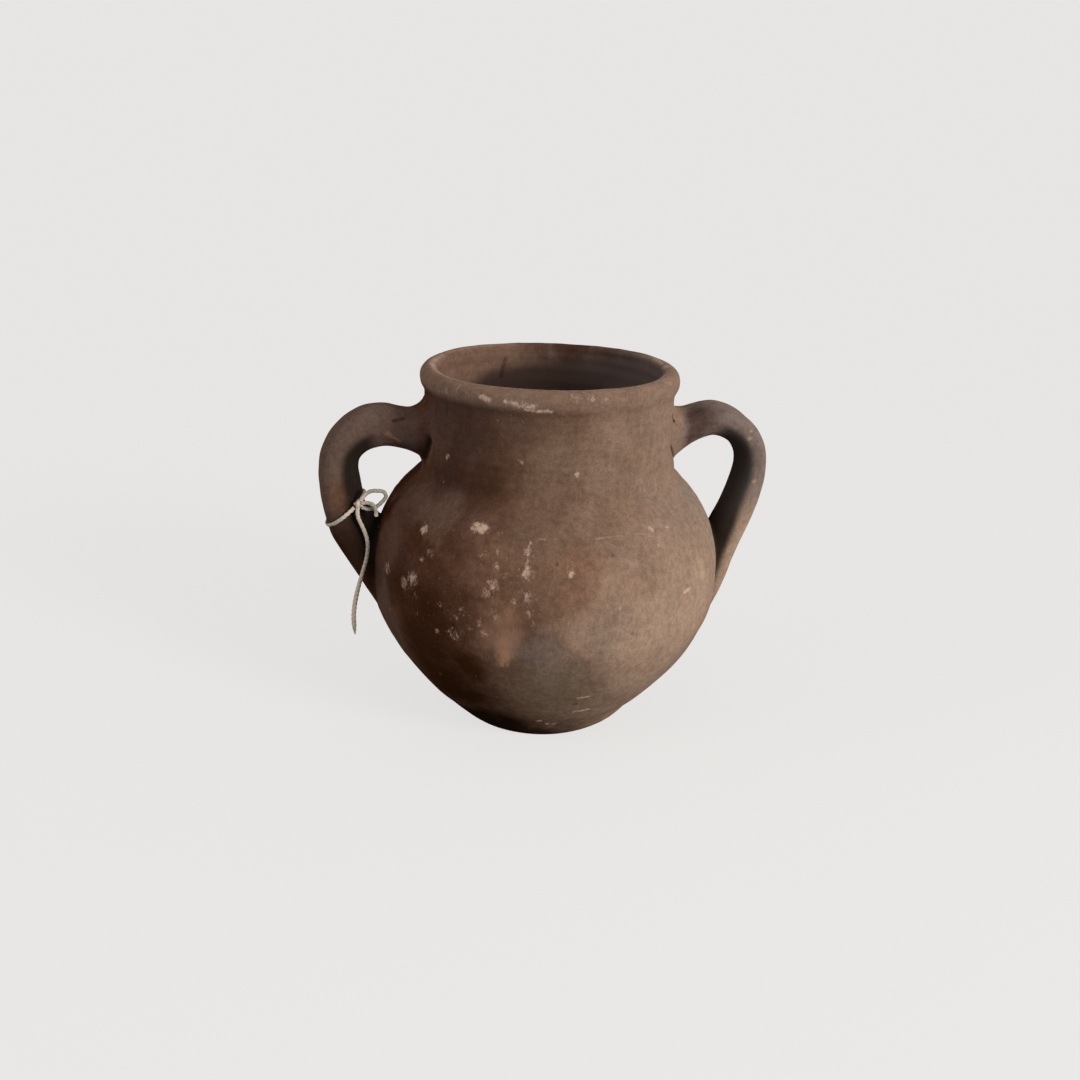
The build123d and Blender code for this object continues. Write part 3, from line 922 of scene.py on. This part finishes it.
# Pale streaks from one angle and level to another, with half width and strength
STREAKS = [
    ((-26.7, 142.4), (-22.6, 143.1), 2, 0.6), ((42.5, 107), (45.8, 107.6), 2.4, 1.5),
    ((-37.6, 220.2), (-33.6, 219.6), 3.2, 1.3), ((-26, 219.4), (-14, 217.6), 3.2, 0.95),
    ((-18, 215.8), (-7, 215.2), 2.2, 1), ((-20, 218), (-16, 217.4), 2.6, 1.2),
    ((-13.2, 143), (-13.4, 129), 2.4, 0.8), ((-24, 142), (-23.2, 130), 2, 0.6),
    ((7.7, 44.4), (11.1, 44.2), 2.8, 1.2), ((8.9, 30.4), (14.3, 30.6), 3.2, 1.2),
]
HANDLE_FLECKS = [(123.8, -13.6, 187.5), (123.3, -14.9, 183), (128, -15, 155.5)]
SCORED_STRETCHES = [((-10, 145.2), (-4.5, 145.2)), ((10, 145), (20, 145.2)), ((20, 145.2), (29.7, 144.2))]
UMBER_SPOTS = [((90, -12, 192), 13, 0.9), ((-86, -13, 188), 15, 0.8)]


def patches(paint, rows, edge, place):
    """The largest of several patches on the pot's outside, each by its strength."""
    return paint.most(
        paint.times(paint.spot(on_pot(angle, level), radius, edge, place), strength)
        for angle, level, radius, strength in rows
    )


def strokes(paint, rows, place):
    """The largest of several strokes over the pot's outside, each by its strength."""
    return paint.most(
        paint.times(paint.line(on_pot(*start), on_pot(*end), half_width, place), strength)
        for start, end, half_width, strength in rows
    )


def rows_of_lines(paint, rows, widening, place):
    """The largest of several marks, each a row of points with a half width and a strength."""
    return paint.most(
        paint.times(paint.line(start, end, widening * half_width + abs(rise), place), strength)
        for row, half_width, rise, strength in rows
        for start, end in zip(row, row[1:])
    )


def clay_body(paint, across, level, warped):
    """Clay and its firing: redder on the left, dusty on the right, with rusty and grey clouds, a painted
    greyish sheen along the left outline and a painted highlight on a fold of the left shoulder.
    """
    drift = paint.times(paint.math("SUBTRACT", paint.grain(34, 4, 0.6), 0.5), 0.11)
    lean = paint.math("ADD", across, drift)
    colour = paint.mix(paint.span(lean, *LEFT_BAND), CLAY_LEFT, CLAY_MIDDLE)
    colour = paint.mix(paint.span(lean, *RIGHT_BAND), colour, CLAY_RIGHT)
    colour = paint.mix(paint.span(level, *NECK_LEVELS, 0.0, 0.15), colour, CLAY_SOOT_AND_SHADE)
    colour = paint.mix(paint.span(paint.grain(19, 4, 0.62), 0.5, 0.75, 0.0, 0.2), colour, CLAY_RUST)
    colour = paint.mix(paint.span(paint.grain(23, 4, 0.62, warped), 0.5, 0.75, 0.0, 0.16), colour, CLAY_SLATE)
    rust = patches(paint, RUST_PATCHES, 0.55, warped)
    rust = paint.times(rust, paint.span(paint.grain(7, 4), 0.25, 0.65))
    colour = paint.mix(rust, colour, CLAY_RUST)
    for rows, tint in (
        (DUST_AND_HIGHLIGHT_PATCHES, CLAY_DUST_AND_HIGHLIGHT), (TAN_PATCHES, CLAY_TAN), (ASH_AND_SHEEN_PATCHES, CLAY_ASH_AND_SHEEN),
        (MAUVE_AND_SHEEN_PATCHES, CLAY_MAUVE_AND_SHEEN), (UMBER_PATCHES, CLAY_UMBER), (SLATE_PATCHES, CLAY_SLATE),
        (OLIVE_PATCHES, CLAY_OLIVE),
    ):
        colour = paint.mix(patches(paint, rows, 0.6, warped), colour, tint)
    return colour


def rim_body(paint, colour, across, level, from_axis):
    """The rolled rim: greyer than the neck, and paler than it on the left, partly as painted light on the
    lip's top.
    """
    on_rim = paint.times(paint.span(level, *RIM_LEVELS), paint.span(from_axis, *RIM_REACH))
    # Painted light on the lip's top, strongest on the left
    share = paint.times(on_rim, paint.span(across, *RIM_PALING, 0.85, 0.5))
    return paint.mix(share, colour, CLAY_RIM)


def handle_body(paint, colour, across, strap, warped):
    """The handles' clay: greyer than the pot's, umber near the wads, red on the left limb."""
    own = paint.mix(paint.span(across, *MIDDLE_BAND), CLAY_STRAP_LEFT, CLAY_STRAP_RIGHT)
    colour = paint.mix(paint.times(strap, 0.9), colour, own)
    umber = paint.most(
        paint.times(paint.spot(centre, radius, 0.5, warped), strength)
        for centre, radius, strength in UMBER_SPOTS
    )
    colour = paint.mix(paint.times(umber, strap), colour, CLAY_UMBER)
    dusty = paint.times(paint.spot(*DUSTY_SPOT, warped), 0.9)
    colour = paint.mix(dusty, colour, CLAY_DUST_AND_HIGHLIGHT)
    red = paint.times(paint.spot(*RED_SPOT, warped), 0.8)
    return paint.mix(red, colour, CLAY_RED)


def clay_grains(paint, level):
    """Fine and coarse grain, and the marks of wiping: upright on the belly, level on the neck."""
    fine, coarse = paint.grain(1.1, 3, 0.7), paint.grain(4.2, 4, 0.65)
    upright = paint.grain(2.4, 3, 0.6, paint.vector("MULTIPLY", paint.place, (1.0, 1.0, 0.45)))
    ringed = paint.grain(2.6, 3, 0.6, paint.vector("MULTIPLY", paint.place, (0.2, 0.2, 1.0)))
    wiped = paint.mix_value(paint.span(level, *WIPED_LEVELS, 0.0, 0.7), upright, ringed)
    return fine, coarse, wiped


def soot_and_shade(paint, colour, across, level, inside_share, warped):
    """Soot from the fire, patchy inside its clouds, and painted shade: in some of the soot's patches, on the
    left limb, on the handles' inner faces and on the inside below the rim.
    """
    left_limb = paint.times(paint.spot(*SOOTY_SPOT, warped), 0.9)
    # Soot, with painted shade in the patches beside the limbs
    soot_and_shade_share = paint.most([patches(paint, SOOT_AND_SHADE_PATCHES, 0.55, warped), left_limb])
    soot_and_shade_share = paint.times(soot_and_shade_share, paint.span(paint.grain(13, 5, 0.65), 0.15, 0.5, 0.7, 1.0))
    soot_and_shade_tint = paint.mix(paint.span(level, *SOOT_LEVELS), CLAY_SOOT_AND_SHADE_LOW, CLAY_SOOT_AND_SHADE)
    colour = paint.mix(soot_and_shade_share, colour, soot_and_shade_tint)
    # Painted shade on the front of the left limb
    limb_shade = paint.times(paint.spot(*SHADED_LIMB_SPOT, warped), 0.55)
    colour = paint.mix(limb_shade, colour, STRAP_SHADE)
    lit_limb = paint.times(paint.span(across, *MIDDLE_BAND), paint.span(level, *LIT_LIMB_LEVELS))
    shade_colour = paint.mix(lit_limb, STRAP_SHADE, STRAP_SHADE_RIGHT)
    lit_inside = paint.span(across, *LINING_SHADE_BAND)
    lining_shade_colour = paint.mix(lit_inside, LINING_SHADE, LINING_SHADE_RIGHT)
    shade_colour = paint.mix(inside_share, shade_colour, lining_shade_colour)
    # Painted shade on the handles' inner faces and on the inside below the rim
    return paint.mix(paint.times(paint.attribute("painted_shade"), 0.96), colour, shade_colour)


def pale_marks(paint, warped, jagged, wavering):
    """Pale flecks of many sizes, crowded in places and rare elsewhere, with streaks and scratches."""
    drawn_out = paint.vector("MULTIPLY", paint.place, (1.0, 1.0, 0.7))
    crowd = patches(paint, FLECK_CROWDS, 0.7, warped)
    single = paint.most([patches(paint, FLECKS, 0.75, jagged), strokes(paint, STREAKS, jagged)])
    blobs = paint.total([(paint.grain(2.3, 4, 0.7, drawn_out), 1.8), (crowd, 0.12), (single, 0.56)])
    specks = paint.total([(paint.grain(1.3, 3, 0.6, drawn_out), 1.6), (crowd, 0.17), (single, 0.3)])
    blobs = paint.span(blobs, 1.17, 1.7, 0.0, 1.0)
    specks = paint.span(specks, 1.08, 1.34, 0.0, 0.45)
    spots = paint.most(paint.spot(place, 1.3, 0.6, jagged) for place in HANDLE_FLECKS)
    scratches = rows_of_lines(paint, SCRATCHES, 1.4, jagged)
    scored = strokes(paint, [(*ends, 0.9, 0.4) for ends in SCORED_STRETCHES], wavering)
    scored = paint.times(scored, paint.span(paint.grain(5, 3), 0.38, 0.6))
    return paint.most([blobs, specks, paint.times(spots, 0.6), scratches, scored])


def lip_highlight(paint, depth, level, from_axis):
    """A painted highlight on the lip: along its inner edge, and less towards the back."""
    edge = paint.math("ABSOLUTE", paint.math("SUBTRACT", from_axis, LIP_REACH))
    lit_edge = paint.times(paint.span(edge, LIP_HALF_WIDTH, 0.0), paint.span(level, *LIP_LEVELS))
    lit_edge = paint.times(lit_edge, paint.span(paint.grain(9, 4, 0.65), 0.35, 0.65, 0.15, 0.7))
    return paint.times(lit_edge, paint.span(depth, *LIP_FRONT))


def clay_material():
    """Matte earthenware with fire clouds, rusty patches, pale flecks and cracks, and painted light and shade:
    highlights on the rim's inner edge and a wad's lip, a sheen at the left outline, shade inside and on the
    handles.
    """
    paint = new_paint("unglazed_clay")
    warped, jagged, wavering = paint.shaken(26, 3, 15.0), paint.shaken(2.4, 3, 1.3), paint.shaken(8, 2, 0.6)
    axes = paint.axes()
    across, depth, level = axes["X"], axes["Y"], axes["Z"]
    from_axis = paint.vector("LENGTH", paint.vector("MULTIPLY", paint.place, (1.0, 1.0, 0.0)))
    inside_share = paint.attribute("inside")
    lining = paint.mix(paint.span(across, *LINING_BAND), CLAY_INSIDE, CLAY_INSIDE_RIGHT)
    colour = paint.mix(inside_share, clay_body(paint, across, level, warped), lining)
    colour = rim_body(paint, colour, across, level, from_axis)
    colour = handle_body(paint, colour, across, paint.attribute("strap"), warped)
    fine, coarse, wiped = clay_grains(paint, level)
    speckle = paint.total([(fine, 0.4), (coarse, 0.4), (wiped, 0.2)])
    colour = paint.mix(1.0, colour, paint.span(speckle, 0.36, 0.64, 0.78, 1.24), "MULTIPLY")
    colour = soot_and_shade(paint, colour, across, level, inside_share, warped)
    colour = paint.mix(patches(paint, RUST_TIP, 0.8, paint.streaked(1.7, 5.0)), colour, CLAY_TIP)
    colour = paint.mix(pale_marks(paint, warped, jagged, wavering), colour, CLAY_PALE)
    pits = paint.most([patches(paint, PIT_PATCHES, 0.5, jagged), paint.dots(5.5, 0.12, jagged)])
    colour = paint.mix(paint.times(pits, 0.55), colour, CLAY_PIT)
    # Painted highlight along the lip's inner edge
    colour = paint.mix(lip_highlight(paint, depth, level, from_axis), colour, CLAY_PALE)

    # Cracks are dark, and a painted reddish highlight runs along the raised lip of the wad
    colour = paint.mix(rows_of_lines(paint, CRACKS, 1.5, wavering), colour, CLAY_CRACK)
    colour = paint.mix(rows_of_lines(paint, LIPS, 1.3, jagged), colour, CLAY_RUST)

    height = paint.total([(fine, 0.3), (coarse, 0.4), (wiped, 0.3), (pits, -0.5)])
    roughness = paint.span(coarse, 0.3, 0.7, 0.8, 0.96)
    return paint.finish(colour, roughness, height, 0.35, Specular_IOR_Level=0.0, Diffuse_Roughness=0.3)


# Colours of the string, and where its bow is soiled, in metres across the pot and by level
BOW_BAND = (-0.1140, -0.1090)
BOW_LEVELS = (0.1370, 0.1405)
STRING_PALE = (0.800, 0.680, 0.555)
STRING_GREY = (0.570, 0.475, 0.385)
STRING_SOILED = (0.340, 0.300, 0.240)


def string_material():
    """Undyed twine: pale, greyer in patches, soiled on the bow, with fine fibres."""
    paint = new_paint("undyed_twine")
    fibres = paint.grain(0.45, 4, 0.7)
    stain = paint.span(paint.grain(9, 3), 0.35, 0.7)
    share = paint.total([(fibres, 0.6), (stain, 0.4)])
    colour = paint.mix(paint.span(share, 0.3, 0.75), STRING_PALE, STRING_GREY)
    axes = paint.axes()
    on_bow = paint.times(paint.span(axes["X"], *BOW_BAND), paint.span(axes["Z"], *BOW_LEVELS))
    colour = paint.mix(paint.times(on_bow, 0.75), colour, STRING_SOILED)
    roughness = paint.span(fibres, 0.3, 0.7, 0.75, 0.95)
    return paint.finish(colour, roughness, fibres, 0.25, Specular_IOR_Level=0.25)


# The loop's own axes: across the limb towards the pot, and towards the front
LOOP_INWARD = np.array([cos(radians(LOOP_SLOPE)), 0.0, sin(radians(LOOP_SLOPE))])
LOOP_FORWARD = np.array([0.0, -1.0, 0.0])


def loop_route():
    """Control points of the string's round loop, from one side of the knot to the other."""
    start, end = KNOT_TURN + KNOT_GAP, KNOT_TURN + 360 - KNOT_GAP
    turns = np.radians(np.linspace(start, end, LOOP_POINTS))
    outset = 1 / cos((turns[1] - turns[0]) / 2)
    depth, width = LOOP_HALF_DEPTH * outset * np.cos(turns), LOOP_HALF_WIDTH * outset * np.sin(turns)
    return np.array(LOOP_CENTRE) + depth[:, None] * LOOP_INWARD + width[:, None] * LOOP_FORWARD


def pressed(rings):
    """Flattens the taut loop where it bends round the limb's outer edge."""
    middle = rings.mean(1, keepdims=True)
    out = middle - np.array(LOOP_CENTRE)
    out /= np.linalg.norm(out, axis=2, keepdims=True)
    flat = LOOP_PRESS * ease(-(out @ LOOP_INWARD))
    depth = ((rings - middle) * out).sum(2)
    return rings - (flat * (depth + STRING_DIAMETER / 2))[..., None] * out


def from_knot(steps):
    """Route points in millimetres from their steps."""
    return np.array(KNOT_CENTRE) + np.array(steps)


def make_knot(twine):
    """The knot: a string that turns three times over and under itself."""
    turn = np.linspace(0, tau, KNOT_STEPS)
    coil = KNOT_RADIUS + KNOT_SWAY * np.cos(KNOT_TURNS * turn)
    rise = KNOT_RISE * np.sin(KNOT_TURNS * turn)
    line = np.stack([coil * np.cos(2 * turn), coil * np.sin(2 * turn), rise], 1)
    axes = np.array([LOOP_INWARD, LOOP_FORWARD, np.cross(LOOP_INWARD, LOOP_FORWARD)])
    line = (np.array(KNOT_CENTRE) + line @ axes) * MM
    rings = twisted_tube(line, closed=True)[0][:-1]
    shell = Shell()
    numbers = shell.points(rings)
    across = np.roll(rings, 1, 1) - np.roll(rings, -1, 1)
    ahead = np.roll(rings, -1, 0) - np.roll(rings, 1, 0)
    normals = np.cross(across, ahead)
    normals /= np.linalg.norm(normals, axis=2, keepdims=True)
    for row in range(len(numbers)):
        after = (row + 1) % len(numbers)
        shell.quads(numbers[row], numbers[after], normals[row], normals[after])
    return shell.made("string_knot", "twine", twine, "string_tie")


def tail_taper(share):
    """The tail loosens towards its end, and is cut to a point there."""
    return np.interp(share, *zip(*TAIL_TAPER))


def make_twine(twine):
    """The tied loop, its knot, slack bow, short cut end and hanging tail."""
    knot = make_knot(twine)
    stub, _ = make_string("string_stub", from_knot(STUB_STEPS), twine, "string_tie")
    ring, ring_line = make_string("string_ring", loop_route(), twine, "string_tie", press=pressed)
    bow, bow_line = make_string("string_bow", from_knot(BOW_STEPS), twine, "string_tie")
    tail, tail_line = make_string("string_tail", from_knot(TAIL_STEPS), twine, "string_end", tail_taper)


# Light and surroundings
KEY_LAMP = {"azimuth": 39.0, "elevation": 18.0, "size": 900.0, "power": 43.0}
FILL_LAMP = {"azimuth": -70.0, "elevation": 20.0, "size": 1300.0, "power": 13.0}
LAMP_DISTANCE = 2600.0
SKY_LIGHT = 0.32
BACKDROP = (0.80, 0.785, 0.77)
FLOOR_BOUNCE = 0.15
FLOOR_GLOW = 0.8
FLOOR_GLOW_STRENGTH = 1.12
FLOOR_FADE = (0.3, 1.1)
FLOOR_REACH = 4000.0


def away(azimuth, elevation):
    """Unit vector from the object towards a camera or lamp."""
    a, e = radians(azimuth), radians(elevation)
    return Vector((sin(a) * cos(e), -cos(a) * cos(e), sin(e)))


def make_floor():
    """A plain pale floor that keeps a soft shadow and fades into the backdrop."""
    reach = FLOOR_REACH * MM
    mesh = bpy.data.meshes.new("floor")
    corners = [(-reach, -reach, 0), (reach, -reach, 0), (reach, reach, 0), (-reach, reach, 0)]
    mesh.from_pydata(corners, [], [(0, 1, 2, 3)])
    floor = bpy.data.objects.new("floor", mesh)
    bpy.context.scene.collection.objects.link(floor)
    paint = new_paint("pale_floor")
    distance = paint.vector("LENGTH", paint.place)
    bounce = paint.fed("BsdfDiffuse", Color=(FLOOR_BOUNCE, FLOOR_BOUNCE, FLOOR_BOUNCE, 1))
    shadowed = paint.fed("BsdfDiffuse", Color=(*BACKDROP, 1))
    strength = paint.span(distance, *FLOOR_FADE, FLOOR_GLOW_STRENGTH, 1.0)
    glow = paint.fed("Emission", Color=(*BACKDROP, 1), Strength=strength)
    shown = paint.blend(paint.span(distance, *FLOOR_FADE, FLOOR_GLOW, 1.0), shadowed, glow)
    paint.show(paint.blend(paint.seen_directly(), bounce, shown))
    mesh.materials.append(paint.holder)


def make_lamp(name, azimuth, elevation, size, power):
    """A large soft round lamp that looks at the middle of the pot."""
    lamp = bpy.data.lights.new(name, "AREA")
    lamp.shape = "DISK"
    lamp.size = size * MM
    lamp.energy = power
    holder = bpy.data.objects.new(name, lamp)
    back = away(azimuth, elevation)
    holder.location = (Vector((0, 0, AIM_LEVEL)) + back * LAMP_DISTANCE) * MM
    holder.rotation_euler = (-back).to_track_quat("-Z", "Y").to_euler()
    bpy.context.scene.collection.objects.link(holder)


def make_sky():
    """An even dim sky, which shows as the pale backdrop."""
    world = bpy.data.worlds.new("studio")
    bpy.context.scene.world = world
    paint = Paint(world)
    sky = paint.fed("Background", Color=(1, 1, 1, 1), Strength=SKY_LIGHT)
    shown = paint.fed("Background", Color=(*BACKDROP, 1))
    paint.show(paint.blend(paint.seen_directly(), sky, shown), "OutputWorld")


def make_camera():
    """The photograph's own view, with its slight roll."""
    data = bpy.data.cameras.new("camera")
    data.lens = CAMERA_LENS
    data.sensor_width = 36.0
    camera = bpy.data.objects.new("camera", data)
    back = away(CAMERA_AZIMUTH, CAMERA_ELEVATION)
    look = (-back).to_track_quat("-Z", "Y")
    aim = Vector((0, 0, AIM_LEVEL)) + look @ Vector((AIM_SIDESTEP, 0, 0))
    camera.location = (aim + back * CAMERA_DISTANCE) * MM
    camera.rotation_mode = "QUATERNION"
    camera.rotation_quaternion = look @ Quaternion((0, 0, 1), radians(CAMERA_ROLL))
    bpy.context.scene.collection.objects.link(camera)
    bpy.context.scene.camera = camera


make_camera()
make_lamp("key", **KEY_LAMP)
make_lamp("fill", **FILL_LAMP)
make_sky()
make_floor()
clay = clay_material()
make_twine(string_material())
make_base(clay)
for ring_index in range(1, len(RINGS) - 1):
    make_ring(ring_index, clay)
make_rim(clay)
make_strap("left", LEFT_STATIONS, -1.0, LEFT_SKEW, clay)
make_strap("right", RIGHT_STATIONS, 1.0, RIGHT_SKEW, clay)
bpy.context.scene.view_settings.view_transform = "Standard"
